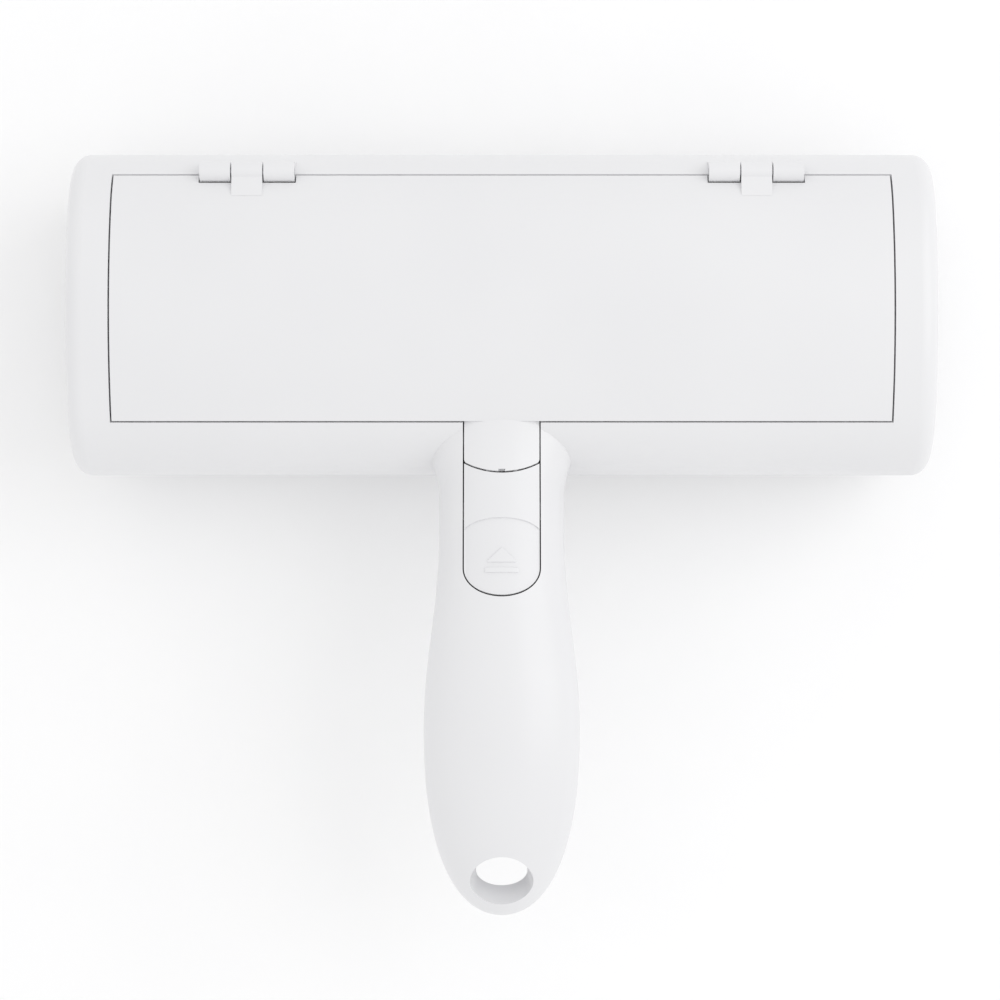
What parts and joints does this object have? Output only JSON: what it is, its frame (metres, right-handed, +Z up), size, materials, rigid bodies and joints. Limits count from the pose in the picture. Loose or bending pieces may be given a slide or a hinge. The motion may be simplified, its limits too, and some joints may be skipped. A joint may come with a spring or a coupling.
{
  "type": "pet hair removal brush",
  "caption": "Wide domed brush head with a rocking pile-covered drum, a hair chamber under a hinged lid, an arched handle with a thumb release and a hanging hole.",
  "frame": {"origin": "middle of the brush's footprint, on the plane that the edge strips and the drum rest on", "axes": "+X along the wide head, the handle points to -Y, +Z up through the lid"},
  "size_m": [0.198, 0.1749, 0.0659],
  "materials": {
    "body_plastic": "satin",
    "release_plastic": "satin",
    "drum_plastic": "satin",
    "drum_pile": "short directional nylon pile",
    "edge_pile": "short nylon pile",
    "steel": "zinc plated"
  },
  "bodies": {
    "head": {"head_housing": "body_plastic", "left_end_cap": "body_plastic", "right_end_cap": "body_plastic", "handle_upper_shell": "body_plastic", "handle_lower_shell": "body_plastic", "front_edge_strip": "edge_pile", "rear_edge_strip": "edge_pile", "left_drum_axle": "steel", "right_drum_axle": "steel", "left_hinge_pin": "steel", "right_hinge_pin": "steel", "button_pivot_pin": "steel", "latch_spring": "steel", "handle_screw_front": "steel", "handle_screw_rear": "steel", "left_neck_screw": "steel", "right_neck_screw": "steel"},
    "lid": {"lid": "body_plastic"},
    "drum": {"drum_core": "drum_plastic", "drum_front_pile": "drum_pile", "drum_rear_pile": "drum_pile"},
    "release": {"release_button": "release_plastic"},
    "latch": {"latch_slider": "drum_plastic"}
  },
  "joints": [
    {"name": "lid_hinge", "type": "hinge", "parent": "head", "child": "lid", "pos_m": [0, 0.08188, 0.05204], "axis": [-1, 0, 0], "range_deg": [0, 100]},
    {"name": "drum_rock", "type": "hinge", "parent": "head", "child": "drum", "pos_m": [0, 0.05004, 0.031], "axis": [1, 0, 0], "range_deg": [-22, 22]},
    {"name": "release_press", "type": "hinge", "parent": "head", "child": "release", "pos_m": [0, 0.00428, 0.05391], "axis": [1, 0, 0], "range_deg": [0, 4], "stiffness_Nm_per_rad": 0.6, "springref_deg": -2.86},
    {"name": "latch_slide", "type": "slide", "parent": "head", "child": "latch", "axis": [0, -0.9821, 0.1882], "range_m": [0, 0.00088], "deforming": ["latch_spring"]}
  ],
  "couplings": [
    {"joint": "latch_slide", "follows": "release_press", "m_per_rad": 0.012}
  ]
}
